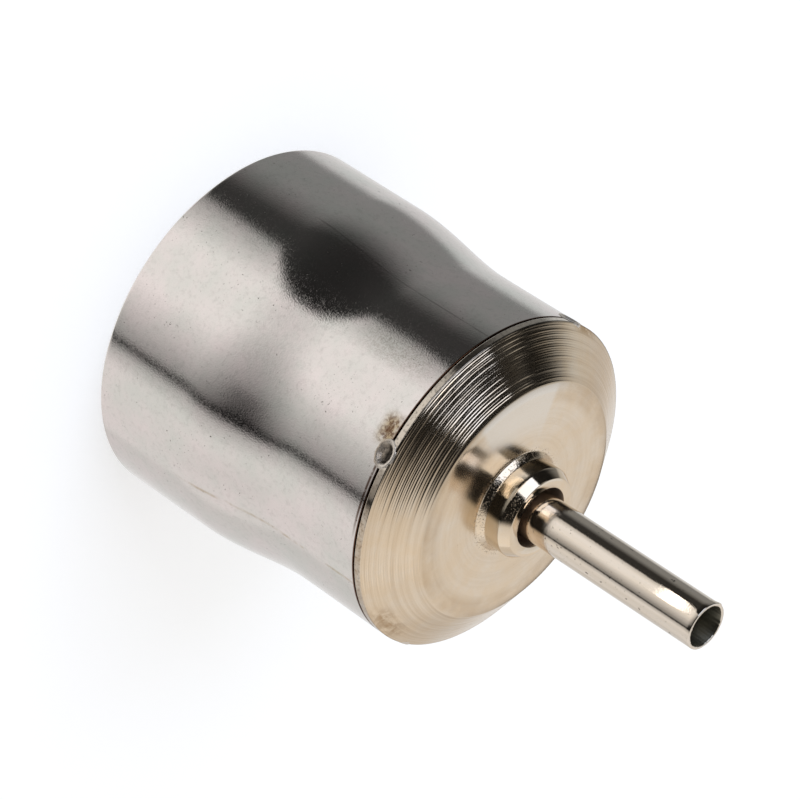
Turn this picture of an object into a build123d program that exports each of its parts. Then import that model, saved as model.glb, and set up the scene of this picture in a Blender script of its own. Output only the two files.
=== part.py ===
from build123d import *
import os

os.makedirs("parts", exist_ok=True)

# Round hot air nozzle: a swaged sheet-steel sleeve, a turned end cap and a thin outlet tube.
# Millimetres. The nozzle stands on its open rim, with the origin at the rim's centre and +Z
# along the axis, towards the tip of the outlet tube.

# Sleeve, drawn from tube and opened out at the end that goes over the heater barrel
sleeve_length = 27.5
sleeve_wall = 0.5
socket_bore_radius = 14.8
front_bore_radius = 13.75
neck_start = 10.2
neck_length = 6.4
neck_bend_radius = 12
rim_chamfer = 0.12

# End cap, turned in one piece
seam_gap = 0.12
rim_band_height = 0.6
cone_height = 2.64
face_radius = 10.3
register_depth = 3.0
register_clearance = 0.05
skirt_wall = 1.3
front_wall = 2.3

# Tool ridges on the cone: the feed opens up from the rim towards the face
ridge_count = 7
ridge_depth = 0.05
ridge_spread = 1.15

# Boss in the middle of the cap, counterbored round the outlet tube
boss_radius = 3.95
boss_height = 2.75
boss_chamfer_height = 0.8
boss_chamfer_width = 0.52
boss_root_height = 0.5
boss_root_width = 0.65
counterbore_radius = 2.6
counterbore_depth = 1.8

# Outlet tube
tube_outer_radius = 2.0
tube_wall = 0.25
tube_projection = 17.1
tube_fit_clearance = 0.02
tube_end_chamfer = 0.08

# Tack welds across the seam
weld_count = 4
weld_length = 2.4
weld_width = 1.7
weld_bite = 0.1
weld_ring_height = 0.12
weld_ring_width = 0.22
weld_edge_chamfer = 0.1
weld_crater_depth = 0.4
weld_floor_inset = 0.4

# Worked out from the sizes above
front_outer_radius = front_bore_radius + sleeve_wall
neck_end = neck_start + neck_length
shoulder_height = sleeve_length + seam_gap
seam_height = sleeve_length + seam_gap / 2
band_top = shoulder_height + rim_band_height
face_height = band_top + cone_height
boss_top = face_height + boss_height
tip_height = boss_top + tube_projection
register_radius = front_bore_radius - register_clearance
skirt_bottom = sleeve_length - register_depth
cavity_radius = register_radius - skirt_wall
cavity_top = face_height - front_wall
tube_bore_radius = tube_outer_radius - tube_wall
weld_floor_radius = register_radius - weld_bite
weld_top_radius = front_outer_radius + weld_ring_height
weld_pocket_reach = weld_top_radius + sleeve_wall - weld_floor_radius


def weld_plane(number):
    """Plane at the seam for one weld: its normal points outwards, its X runs along the seam."""
    angle = number * 360 / weld_count
    outwards = Vector(1, 0, 0).rotate(Axis.Z, angle)
    along_seam = Vector(0, 1, 0).rotate(Axis.Z, angle)
    return Plane(origin=(0, 0, seam_height), x_dir=along_seam, z_dir=outwards)


def ridge_foot(number):
    """Point on the cone where a ridge stands, counted from the rim band."""
    share = (number / ridge_count) ** ridge_spread
    radius = front_outer_radius + (face_radius - front_outer_radius) * share
    return Vector(radius, band_top + cone_height * share)


# Sleeve: one wall line, thickened outwards and turned about the axis
with BuildPart() as sleeve:
    with BuildSketch(Plane.XZ):
        with BuildLine():
            FilletPolyline(
                (socket_bore_radius, 0),
                (socket_bore_radius, neck_start),
                (front_bore_radius, neck_end),
                (front_bore_radius, sleeve_length),
                radius=neck_bend_radius,
            )
            offset(amount=sleeve_wall, side=Side.RIGHT, closed=True)
        make_face()
    revolve(axis=Axis.Z)
    open_rim = sleeve.faces().filter_by(Plane.XY).sort_by(Axis.Z)[0]
    chamfer(open_rim.edges(), length=rim_chamfer)
    # Half of each weld's pocket is in the sleeve's front edge
    for number in range(weld_count):
        with BuildSketch(weld_plane(number).offset(weld_floor_radius)):
            SlotOverall(weld_length, weld_width)
        extrude(amount=weld_pocket_reach, mode=Mode.SUBTRACT)
sleeve.part.label = "sleeve"
export_step(sleeve.part, "parts/sleeve.step")

# End cap: the turned section with its ridged cone, skirt and hollow, then the boss
with BuildPart() as end_cap:
    with BuildSketch(Plane.XZ):
        with BuildLine():
            Polyline(
                (0, cavity_top),
                (cavity_radius, cavity_top),
                (cavity_radius, skirt_bottom),
                (register_radius, skirt_bottom),
                (register_radius, shoulder_height),
                (front_outer_radius, shoulder_height),
                (front_outer_radius, band_top),
            )
            cone_direction = (ridge_foot(ridge_count) - ridge_foot(0)).normalized()
            into_cone = cone_direction.rotate(Axis.Z, 90)
            for number in range(ridge_count):
                ridge_start = ridge_foot(number)
                ridge_end = ridge_foot(number + 1)
                valley = (ridge_start + ridge_end) / 2 + into_cone * ridge_depth
                Polyline(ridge_start, valley, ridge_end)
            Polyline((face_radius, face_height), (0, face_height), (0, cavity_top))
        make_face()
    revolve(axis=Axis.Z)
    with BuildSketch(Plane.XY.offset(face_height)):
        Circle(boss_radius)
    extrude(amount=boss_height)
    cap_face, boss_face = end_cap.faces().filter_by(Plane.XY).sort_by(Axis.Z)[-2:]
    root_edge = cap_face.edges().sort_by(SortBy.LENGTH)[0]
    chamfer(root_edge, length=boss_root_width, length2=boss_root_height, reference=cap_face)
    boss_edge = boss_face.edges()[0]
    chamfer(boss_edge, length=boss_chamfer_width, length2=boss_chamfer_height, reference=boss_face)
    with Locations((0, 0, boss_top)):
        CounterBoreHole(
            radius=tube_outer_radius + tube_fit_clearance,
            counter_bore_radius=counterbore_radius,
            counter_bore_depth=counterbore_depth,
        )
    # The other half of each weld's pocket is in the rim band and the skirt
    for number in range(weld_count):
        with BuildSketch(weld_plane(number).offset(weld_floor_radius)):
            SlotOverall(weld_length, weld_width)
        extrude(amount=weld_pocket_reach, mode=Mode.SUBTRACT)
end_cap.part.label = "end_cap"
export_step(end_cap.part, "parts/end_cap.step")

# Outlet tube: pressed through the boss until its end is flush with the cap's inside
with BuildPart() as outlet_tube:
    with BuildSketch(Plane.XY.offset(cavity_top)):
        Circle(tube_outer_radius)
        Circle(tube_bore_radius, mode=Mode.SUBTRACT)
    extrude(amount=tip_height - cavity_top)
    tip_face = outlet_tube.faces().sort_by(Axis.Z)[-1]
    chamfer(tip_face.edges(), length=tube_end_chamfer)
outlet_tube.part.label = "outlet_tube"
export_step(outlet_tube.part, "parts/outlet_tube.step")

# Tack welds: an oval button in its pocket, with a raised ring round a sunken crater
for number in range(weld_count):
    with BuildPart() as weld_spot:
        with BuildSketch(weld_plane(number).offset(weld_floor_radius)):
            SlotOverall(weld_length, weld_width)
        extrude(amount=weld_top_radius - weld_floor_radius)
        outwards = Axis((0, 0, 0), weld_plane(number).z_dir)
        button_face = weld_spot.faces().sort_by(outwards)[-1]
        chamfer(button_face.edges(), length=weld_edge_chamfer)
        with BuildSketch(weld_plane(number).offset(weld_top_radius)):
            SlotOverall(weld_length - 2 * weld_ring_width, weld_width - 2 * weld_ring_width)
        with BuildSketch(weld_plane(number).offset(weld_top_radius - weld_crater_depth)):
            SlotOverall(weld_length - 2 * weld_floor_inset, weld_width - 2 * weld_floor_inset)
        loft(mode=Mode.SUBTRACT)
    weld_spot.part.label = f"weld_spot_{number + 1}"
    export_step(weld_spot.part, f"parts/weld_spot_{number + 1}.step")
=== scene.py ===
import math

import bpy
import numpy as np
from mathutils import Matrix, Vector, noise


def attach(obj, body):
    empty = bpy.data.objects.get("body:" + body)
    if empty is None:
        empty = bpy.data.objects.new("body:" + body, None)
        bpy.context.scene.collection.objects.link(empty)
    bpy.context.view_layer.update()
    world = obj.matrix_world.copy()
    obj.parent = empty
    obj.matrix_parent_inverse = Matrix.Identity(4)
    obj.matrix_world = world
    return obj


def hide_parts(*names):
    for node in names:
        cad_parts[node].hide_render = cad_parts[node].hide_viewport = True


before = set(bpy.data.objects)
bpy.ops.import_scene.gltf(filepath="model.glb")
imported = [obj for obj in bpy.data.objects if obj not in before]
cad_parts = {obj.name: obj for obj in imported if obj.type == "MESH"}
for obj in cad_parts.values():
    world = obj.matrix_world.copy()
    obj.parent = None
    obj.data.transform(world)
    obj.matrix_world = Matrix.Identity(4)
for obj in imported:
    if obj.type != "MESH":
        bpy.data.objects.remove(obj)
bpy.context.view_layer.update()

# Sleeve. It is a piece of stainless steel tube with a 0.5 mm wall, opened out on a swage at the
# end that goes over the heater barrel, and left bright. The swage leaves a smooth S-shaped neck
# and a faint waist in front of it. Four tack welds hold it to the end cap.
MM = 0.001  # in metres. A length with no note is in mm, and a height is measured up from the rim

SLEEVE_LENGTH = 27.5
SOCKET_RADIUS, FRONT_RADIUS = 15.3, 14.25
SLEEVE_WALL = 0.5
NECK_FROM, NECK_TO = 8.95, 19.05
WAIST_DEPTH, WAIST_TO_FRONT = 0.05, 20.0
RIM_BREAK, FRONT_BREAK = 0.12, 0.06
# The waviness of swaged tube: depth, waves round, turn per mm of height, start
RIPPLES = ((0.002, 3, 0.35, 0.0), (0.0015, 7, -0.6, 1.0))
SLEEVE_AROUND, PLAIN_ROWS, POCKET_ROWS = 480, 88, 22
SHARP_FROM = math.radians(50)

SEAM_HEIGHT = 27.42
WELD_ANGLES = (0, 90, 180, 270)
WELD_LENGTH, WELD_WIDTH = 2.4, 1.7
POCKET_FROM, POCKET_DEPTH = 26.2, 0.75
POCKET_FLAT, POCKET_EDGE = 0.5, 0.8  # shares of the way from the middle of a weld to its rim


def ease(low, high, value):
    """Smooth step from 0 at low to 1 at high."""
    share = np.clip((np.asarray(value, float) - low) / (high - low), 0, 1)
    return share * share * (3 - 2 * share)


def swaged_radius(height):
    """Outer radius of the sleeve at a height above its rim."""
    drop = SOCKET_RADIUS - FRONT_RADIUS + WAIST_DEPTH
    rise = WAIST_DEPTH * ease(WAIST_TO_FRONT, SLEEVE_LENGTH, height)
    return SOCKET_RADIUS - drop * ease(NECK_FROM, NECK_TO, height) + rise


def weld_share(angle, height):
    """1 under the middle of a weld and 0 outside it, for the pocket that it fills."""
    deepest = 0
    for weld_angle in WELD_ANGLES:
        turn = (angle - math.radians(weld_angle) + math.pi) % (2 * math.pi) - math.pi
        along = turn * FRONT_RADIUS / (WELD_LENGTH / 2)
        across = (height - SEAM_HEIGHT) / (WELD_WIDTH / 2)
        deepest = np.maximum(deepest, 1 - ease(POCKET_FLAT, POCKET_EDGE, np.hypot(along, across)))
    return deepest


def turned(name, outline, around, reshape):
    """Mesh object from a closed outline of (radius, height), turned about the axis."""
    angle = np.linspace(0, 2 * math.pi, around, endpoint=False)[:, None]
    radius, height = (np.array(outline)[None, :, k] + 0 * angle for k in (0, 1))
    radius, height = reshape(angle + 0 * radius, radius, height)
    points = np.stack([radius * np.cos(angle), radius * np.sin(angle), height], -1) * MM
    count = len(outline)
    here = np.arange(around)[:, None] * count
    there = (np.arange(around)[:, None] + 1) % around * count
    step, after = np.arange(count)[None, :], (np.arange(count)[None, :] + 1) % count
    quads = np.stack([here + step, there + step, there + after, here + after], -1)
    mesh = bpy.data.meshes.new(name)
    mesh.from_pydata(points.reshape(-1, 3).tolist(), [], quads.reshape(-1, 4).tolist())
    mesh.shade_smooth()
    mesh.set_sharp_from_angle(angle=SHARP_FROM)
    piece = bpy.data.objects.new(name, mesh)
    bpy.context.scene.collection.objects.link(piece)
    return piece


def rounded(outline, corner, radius, steps=4):
    """The outline with one corner, given by its number, replaced by a small arc."""
    before, tip, after = (Vector(outline[(corner + k) % len(outline)]) for k in (-1, 0, 1))
    start = tip + (before - tip).normalized() * radius
    end = tip + (after - tip).normalized() * radius
    arc = []
    for k in range(steps + 1):
        t = k / steps
        arc.append(tuple(start * (1 - t) ** 2 + tip * 2 * t * (1 - t) + end * t * t))
    return outline[:corner] + arc + outline[corner + 1:]


def sleeve_shape(angle, radius, height):
    """Presses the weld pockets in, and lays the ripples just inside the true radius."""
    for depth, waves, twist, start in RIPPLES:
        radius = radius + depth * (np.sin(waves * angle + twist * height + start) - 1)
    return radius - POCKET_DEPTH * weld_share(angle, height), height


# The rows of points lie closer where the pockets are, and the plain inside needs fewer
heights = [*np.linspace(0, POCKET_FROM, PLAIN_ROWS),
           *np.linspace(POCKET_FROM + 0.06, SLEEVE_LENGTH, POCKET_ROWS)]
outside = [(float(swaged_radius(h)), float(h)) for h in heights]
inside = [(r - SLEEVE_WALL, h) for r, h in reversed(outside[::4] + outside[-1:])]
sleeve_outline = rounded(outside + inside, len(outside) - 1, FRONT_BREAK)
sleeve_outline = rounded(sleeve_outline, 0, RIM_BREAK)
sleeve = turned("sleeve_swaged", sleeve_outline, SLEEVE_AROUND, sleeve_shape)


def linear(code):
    """Linear colour with alpha from an sRGB hex code."""
    values = [int(code[k:k + 2], 16) / 255 for k in (1, 3, 5)]
    return [v / 12.92 if v <= 0.04045 else ((v + 0.055) / 1.055) ** 2.4 for v in values] + [1]


def add(tree, kind, inputs=None, **settings):
    """Adds a node. An input, by name or number, takes a value or is linked to a socket."""
    node = tree.nodes.new(kind)
    for name, value in settings.items():
        setattr(node, name, value)
    for name, value in (inputs or {}).items():
        if isinstance(value, bpy.types.NodeSocket):
            tree.links.new(value, node.inputs[name])
        else:
            node.inputs[name].default_value = value
    return node


FACING = 260.0  # degrees from +X, the side of the nozzle that shows the weld


def start_material(name):
    """New material with its shader, and the sockets that place marks on a turned piece.

    They are the place in mm, the angle from the facing side in degrees, the height and the
    radius in mm. The angle jumps on the far side, so only marks that stay clear of it use it.
    """
    material = bpy.data.materials.new(name)
    material.use_nodes = True
    tree = material.node_tree
    shader = tree.nodes["Principled BSDF"]
    place = add(tree, "ShaderNodeTexCoord").outputs["Object"]
    place = add(tree, "ShaderNodeVectorMath", {0: place, "Scale": 1 / MM}, operation="SCALE").outputs[0]
    turned_place = add(tree, "ShaderNodeVectorRotate", {
        "Vector": place, "Angle": -math.radians(FACING)}, rotation_type="Z_AXIS").outputs[0]
    split = add(tree, "ShaderNodeSeparateXYZ", {0: turned_place})
    angle = add(tree, "ShaderNodeMath", {
        0: split.outputs[1], 1: split.outputs[0]}, operation="ARCTAN2").outputs[0]
    angle = add(tree, "ShaderNodeMath", {0: angle}, operation="DEGREES").outputs[0]
    flat = add(tree, "ShaderNodeVectorMath", {0: place, 1: (1, 1, 0)}, operation="MULTIPLY").outputs[0]
    radius = add(tree, "ShaderNodeVectorMath", {0: flat}, operation="LENGTH").outputs["Value"]
    return material, tree, shader, place, angle, split.outputs[2], radius


def within(tree, value, low, high, soft):
    """1 where the value lies between low and high, with edges that fade over the soft width."""
    up = add(tree, "ShaderNodeMapRange", {
        "Value": value, "From Min": low - soft, "From Max": low + soft},
        interpolation_type="SMOOTHSTEP").outputs[0]
    down = add(tree, "ShaderNodeMapRange", {
        "Value": value, "From Min": high - soft, "From Max": high + soft, "To Min": 1, "To Max": 0},
        interpolation_type="SMOOTHSTEP").outputs[0]
    return add(tree, "ShaderNodeMath", {0: up, 1: down}, operation="MULTIPLY").outputs[0]


def where_all(tree, *masks):
    """Mask of the places where all the masks hold. A number weakens it."""
    result = masks[0]
    for mask in masks[1:]:
        result = add(tree, "ShaderNodeMath", {0: result, 1: mask}, operation="MULTIPLY").outputs[0]
    return result


def marked(tree, colour, tint, *masks):
    """The colour, with the tint laid over it where all the masks hold."""
    amount = where_all(tree, *masks)
    return add(tree, "ShaderNodeMix", {"Factor": amount, "A": colour, "B": tint},
               data_type="RGBA").outputs["Result"]


def blotches(tree, place, size, low, high, detail=4.0):
    """Cloudy mask with patches of about that size in mm. It holds more with lower limits."""
    cloud = add(tree, "ShaderNodeTexNoise", {
        "Vector": place, "Scale": 1 / size, "Detail": detail, "Roughness": 0.65}).outputs[0]
    return add(tree, "ShaderNodeMapRange", {"Value": cloud, "From Min": low, "From Max": high}).outputs[0]


def specks(tree, place, size, share, seed):
    """Small irregular spots of about that size in mm, more of them with a larger share."""
    spot = add(tree, "ShaderNodeTexNoise", {
        "Vector": place, "W": seed, "Scale": 1 / size, "Detail": 2}, noise_dimensions="4D").outputs[0]
    edge = 0.5 + 0.3 * (1 - share)  # this noise averages 0.5 and seldom passes 0.8
    return add(tree, "ShaderNodeMapRange", {
        "Value": spot, "From Min": edge, "From Max": edge + 0.05}).outputs[0]


# Bright swaged stainless steel: a clean mirror-like steel with a faint warm and a faint grey
# bloom, fine grain from the swage, pits where dirt was rolled in, and a heat tint at the weld.
# Its grain is finer than 0.05 mm, and is drawn coarser so that it shows.
steel, tree, shader, place, angle, height, radius = start_material("stainless_steel_swaged_bright")
SLEEVE_GREY, SLEEVE_ROSE = linear("#DAD7D0"), linear("#E6DBD7")
PIT_COLOUR, GRIME, SEAM_SOOT = linear("#5E5750"), linear("#8D8374"), linear("#2A211B")
TINT_STRAW, BROWN_TINT_AND_SHADE = linear("#AC9673"), linear("#5A3C2A")
STEEL_GRAIN, STEEL_WAVE, STEEL_RELIEF = 0.125, 1.25, 0.005
WAVE_SHARE, PIT_SHARE = 0.3, -0.5  # of that relief, and the pits go inwards
STEEL_CLEAN, STEEL_MOTTLED, PIT_DULLS, FROST_DULLS = 0.05, 0.14, 0.25, 0.09
# Where the marks lie: low, high and soft edge, in degrees round from the facing side or mm up
RUBBED_ROUND, RUBBED_UP = (-23, -14, 3), (20, 26.4, 1.5)
PITTED_ROUND, PITTED_UP = (1, 15, 2), (19.4, 21.6, 0.5)
WELD_TINT_ROUND, WELD_TINT_UP = (-1.5, 7.5, 2.5), (26.0, 27.6, 0.6)
BURNT_RIM_ROUND, BURNT_RIM_UP = (1, 5, 1.2), (26.45, 26.75, 0.15)
SEAM_SHADOW_ROUND, SEAM_SHADOW_UP = (10, 36, 7), (27.1, 27.3, 0.06)
SCRATCH_ROUND, SCRATCH_UP = (57.3, 58.3, 0.5), (8, 27.6, 1.5)
DRAW_LINE_ROUND, DRAW_LINE_UP = (-40.4, -40.0, 0.3), (9, 27.6, 1)
SEAM_SHADE_FROM, SEAM_SHADE_FULL = SLEEVE_LENGTH - 0.13, SLEEVE_LENGTH - 0.06

colour = marked(tree, SLEEVE_GREY, SLEEVE_ROSE, blotches(tree, place, size=4.5, low=0.35, high=0.65))
mottle = blotches(tree, place, size=0.45, low=0.5, high=0.8)
colour = marked(tree, colour, PIT_COLOUR, mottle, 0.16)
worn_patch = blotches(tree, place, size=3.2, low=0.44, high=0.6, detail=2.0)
pits = where_all(tree, specks(tree, place, size=0.2, share=0.44, seed=3.0), worn_patch)
colour = marked(tree, colour, PIT_COLOUR, pits, 0.85)
rubbed = where_all(tree, within(tree, angle, *RUBBED_ROUND), within(tree, height, *RUBBED_UP),
                   blotches(tree, place, size=0.16, low=0.42, high=0.62))
colour = marked(tree, colour, GRIME, rubbed, 0.4)
cluster = where_all(tree, within(tree, angle, *PITTED_ROUND), within(tree, height, *PITTED_UP),
                    specks(tree, place, size=0.16, share=0.5, seed=5.0))
colour = marked(tree, colour, PIT_COLOUR, cluster, 0.8)
beside_weld = where_all(tree, within(tree, angle, *WELD_TINT_ROUND), within(tree, height, *WELD_TINT_UP))
straw = blotches(tree, place, size=0.9, low=0.2, high=0.5)
colour = marked(tree, colour, TINT_STRAW, beside_weld, straw, 0.9)
brown = blotches(tree, place, size=0.3, low=0.44, high=0.58)
colour = marked(tree, colour, BROWN_TINT_AND_SHADE, beside_weld, brown, 0.85)
burnt_rim = where_all(tree, within(tree, angle, *BURNT_RIM_ROUND), within(tree, height, *BURNT_RIM_UP),
                      blotches(tree, place, size=0.5, low=0.3, high=0.5))
colour = marked(tree, colour, BROWN_TINT_AND_SHADE, burnt_rim, 0.8)
# Painted shadow: a thin brown line on the sleeve just below the seam, the shadow of the seam's edge
seam_edge_shadow = where_all(tree, within(tree, angle, *SEAM_SHADOW_ROUND), within(tree, height, *SEAM_SHADOW_UP),
                      blotches(tree, place, size=0.6, low=0.25, high=0.45))
colour = marked(tree, colour, BROWN_TINT_AND_SHADE, seam_edge_shadow, 0.9)
scratch = where_all(tree, within(tree, angle, *SCRATCH_ROUND), within(tree, height, *SCRATCH_UP),
                    blotches(tree, place, size=1.7, low=0.38, high=0.62))
colour = marked(tree, colour, TINT_STRAW, scratch, 0.6)
draw_line = where_all(tree, within(tree, angle, *DRAW_LINE_ROUND), within(tree, height, *DRAW_LINE_UP),
                      blotches(tree, place, size=2.5, low=0.3, high=0.6))
colour = marked(tree, colour, PIT_COLOUR, draw_line, 0.5)
# Painted shade: the sleeve's top edge at the seam is dark brown
seam_shade = add(tree, "ShaderNodeMapRange", {
    "Value": height, "From Min": SEAM_SHADE_FROM, "From Max": SEAM_SHADE_FULL}).outputs[0]
colour = marked(tree, colour, BROWN_TINT_AND_SHADE, seam_shade)
tree.links.new(colour, shader.inputs["Base Color"])
shader.inputs["Metallic"].default_value = 1
gloss = add(tree, "ShaderNodeMapRange", {
    "Value": mottle, "To Min": STEEL_CLEAN, "To Max": STEEL_MOTTLED}).outputs[0]
gloss = add(tree, "ShaderNodeMath", {0: pits, 1: PIT_DULLS, 2: gloss}, operation="MULTIPLY_ADD").outputs[0]
frosted = specks(tree, place, size=0.13, share=1.0, seed=8.0)
gloss = add(tree, "ShaderNodeMath", {
    0: frosted, 1: FROST_DULLS, 2: gloss}, operation="MULTIPLY_ADD").outputs[0]
tree.links.new(gloss, shader.inputs["Roughness"])
grain = add(tree, "ShaderNodeTexNoise", {
    "Vector": place, "Scale": 1 / STEEL_GRAIN, "Detail": 2, "Roughness": 0.65}).outputs[0]
wave = add(tree, "ShaderNodeTexNoise", {"Vector": place, "Scale": 1 / STEEL_WAVE, "Detail": 1}).outputs[0]
relief = add(tree, "ShaderNodeMath", {0: wave, 1: WAVE_SHARE, 2: grain}, operation="MULTIPLY_ADD").outputs[0]
relief = add(tree, "ShaderNodeMath", {0: pits, 1: PIT_SHARE, 2: relief}, operation="MULTIPLY_ADD").outputs[0]
bump = add(tree, "ShaderNodeBump", {"Height": relief, "Distance": STEEL_RELIEF * MM, "Strength": 1.0})
tree.links.new(bump.outputs[0], shader.inputs["Normal"])
sleeve.data.materials.append(steel)
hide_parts("sleeve")
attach(sleeve, "root")

# End cap. It is turned from one piece of brass and nickel plated: a short band at the seam, a
# cone on which the tool left ridges, a flat face and a stepped boss. Its skirt sits inside the
# sleeve's front end, and the seam between them stays open as a dark line.
SEAM_GAP = 0.12
BAND_BOTTOM = SLEEVE_LENGTH + SEAM_GAP
BAND_TOP = BAND_BOTTOM + 0.6
CONE_HEIGHT = 2.64
FACE_RADIUS, FACE_HEIGHT = 10.3, BAND_TOP + CONE_HEIGHT
CONE_LENGTH = math.hypot(FRONT_RADIUS - FACE_RADIUS, CONE_HEIGHT)
SKIRT_RADIUS, SKIRT_BOTTOM = 13.7, 24.5
HOLLOW_RADIUS, HOLLOW_TOP = 12.4, FACE_HEIGHT - 2.3
BOSS_RADIUS, BOSS_TOP = 3.95, FACE_HEIGHT + 2.75
FLARE_WIDTH, FLARE_HEIGHT = 0.42, 0.55
FLARE_CURVE = 1.25
CHAMFER_WIDTH, CHAMFER_HEIGHT = 0.52, 0.8
MOUTH_RADIUS, MOUTH_DEPTH = 2.6, 1.8
TUBE_RADIUS = 2.0
CAP_AROUND = 400
# Length along the cone in mm and share of the full height, for each ridge
RIDGES = (
    (0.14, 0.7), (0.33, 0.95), (0.5, 0.55), (0.68, 1.0), (0.84, 0.7), (1.02, 0.9), (1.23, 0.5), (1.42, 1.0),
    (1.58, 0.65), (1.8, 0.85), (1.98, 1.0), (2.14, 0.6), (2.33, 0.9), (2.5, 0.7), (2.74, 1.0), (2.93, 0.55),
    (3.15, 0.8), (3.42, 0.6), (3.66, 0.85), (3.92, 0.5), (4.14, 0.75), (4.34, 0.9),
)
RIDGE_HEIGHT, RIDGE_RISE, RIDGE_FALL = 0.03, 0.085, 0.12
ROWS_BY_RIDGE = (-0.11, -0.075, -0.05, -0.025, 0, 0.035)
ROW_SPACING = 0.1
# The ridges are deepest at one angle, and fade over so many degrees to either side of it
DEEPEST_ANGLE, FADE_BEFORE, FADE_PAST = 248, 24, 50
CHATTER_STEADY, CHATTER_SWING = 0.72, 0.28

stations = {round(k * ROW_SPACING, 3) for k in range(1, int(CONE_LENGTH / ROW_SPACING))}
for ridge, _ in RIDGES:
    stations |= {round(ridge + step, 3) for step in ROWS_BY_RIDGE if ridge + step > 0.02}
cone_line = []
for along in sorted(stations):
    share = along / CONE_LENGTH
    cone_line.append((FRONT_RADIUS + (FACE_RADIUS - FRONT_RADIUS) * share, BAND_TOP + CONE_HEIGHT * share))
face_rows = np.linspace(FACE_RADIUS - 0.02, BOSS_RADIUS + FLARE_WIDTH + 0.1, 8)
face_line = [(r, FACE_HEIGHT) for r in face_rows]
flare_line = []
for t in np.linspace(0, 1, 9):
    flare_line.append((BOSS_RADIUS + FLARE_WIDTH * (1 - t) ** FLARE_CURVE, FACE_HEIGHT + FLARE_HEIGHT * t))
chamfer_foot, chamfer_rim = BOSS_TOP - CHAMFER_HEIGHT, BOSS_RADIUS - CHAMFER_WIDTH
# The hundredths in the outline round its corners and keep the shading beside them flat
cap_outline = [
    (HOLLOW_RADIUS, SKIRT_BOTTOM), (SKIRT_RADIUS, SKIRT_BOTTOM), (SKIRT_RADIUS, BAND_BOTTOM),
    (FRONT_RADIUS - 0.04, BAND_BOTTOM), (FRONT_RADIUS, BAND_BOTTOM + 0.04),
    (FRONT_RADIUS, BAND_BOTTOM + 0.08), (FRONT_RADIUS, BAND_TOP - 0.07), (FRONT_RADIUS, BAND_TOP - 0.03),
    *cone_line, *face_line, *flare_line,
    (BOSS_RADIUS, FACE_HEIGHT + FLARE_HEIGHT + 0.06), (BOSS_RADIUS, chamfer_foot - 0.03),
    (BOSS_RADIUS - 0.02, chamfer_foot + 0.03), (BOSS_RADIUS - 0.05, chamfer_foot + 0.08),
    (chamfer_rim + 0.04, BOSS_TOP - 0.06), (chamfer_rim, BOSS_TOP - 0.01), (chamfer_rim - 0.04, BOSS_TOP),
    (MOUTH_RADIUS + 0.05, BOSS_TOP), (MOUTH_RADIUS, BOSS_TOP - 0.05),
    (MOUTH_RADIUS, BOSS_TOP - MOUTH_DEPTH), (TUBE_RADIUS + 0.02, BOSS_TOP - MOUTH_DEPTH),
    (TUBE_RADIUS + 0.02, HOLLOW_TOP), (HOLLOW_RADIUS, HOLLOW_TOP),
]


def cap_shape(angle, radius, height):
    """Presses the weld pockets in, and cuts the ridges, which come and go as the tool chattered."""
    on_cone = (height > BAND_TOP) & (height < FACE_HEIGHT) & (radius > FACE_RADIUS)
    along = (height - BAND_TOP) * CONE_LENGTH / CONE_HEIGHT
    past_deepest = np.degrees(angle) - DEEPEST_ANGLE
    fade = np.where(past_deepest < 0, FADE_BEFORE, FADE_PAST)
    chattered = 0.5 + 0.5 * np.exp(-(past_deepest / fade) ** 2)
    standing = 0 * radius
    for number, (ridge, share) in enumerate(RIDGES):
        chatter = CHATTER_STEADY + CHATTER_SWING * np.sin((2 + number % 3) * angle + 2.4 * number)
        past = along - ridge
        profile = np.exp(-np.where(past < 0, (past / RIDGE_RISE) ** 2, past / RIDGE_FALL))
        standing = np.maximum(standing, share * chatter * profile)
    into = RIDGE_HEIGHT * (1 - standing * chattered) * on_cone * ease(0, 0.05, along)
    radius = radius - into * CONE_HEIGHT / CONE_LENGTH - POCKET_DEPTH * weld_share(angle, height)
    return radius, height - into * (FRONT_RADIUS - FACE_RADIUS) / CONE_LENGTH


cap = turned("end_cap_turned", cap_outline, CAP_AROUND, cap_shape)

# Nickel plate over turned brass: a warm champagne mirror. The lathe's fine feed marks run round
# it, so its gloss spreads outwards from the axis, and brown stains sit at the edge of the cone.
# The feed marks are under 0.1 mm apart, and are drawn at 0.125 and 0.35 mm so that they show.
nickel, tree, shader, place, angle, height, radius = start_material("nickel_plated_brass_turned")
NICKEL, NICKEL_PALE, NICKEL_DULL = linear("#E3CDB1"), linear("#E5D8C7"), linear("#CDBFA9")
STAIN, BAND_GREY, MOUTH_SHADE_BROWN = linear("#A5845A"), linear("#C9C0B4"), linear("#8F7F72")
NICKEL_ROUGHNESS, GRAINY_ROUGHNESS = 0.09, 0.5
CONE_DULLS, FACE_DULLS, MOUTH_DULLS = 0.03, 0.08, 0.35
FEED_MARK_SPACING, FEED_MARK_WANDER = 0.35, 0.03
NICKEL_GRAIN, NICKEL_RELIEF = 0.125, 0.006
RING_DEPTH, MORE_ON_CONE = 0.6, 0.9
GRIT_DEPTH, MORE_WHERE_GRAINY = 0.2, 1.6
SHARP, SOFT = 0.02, 0.05
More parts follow.
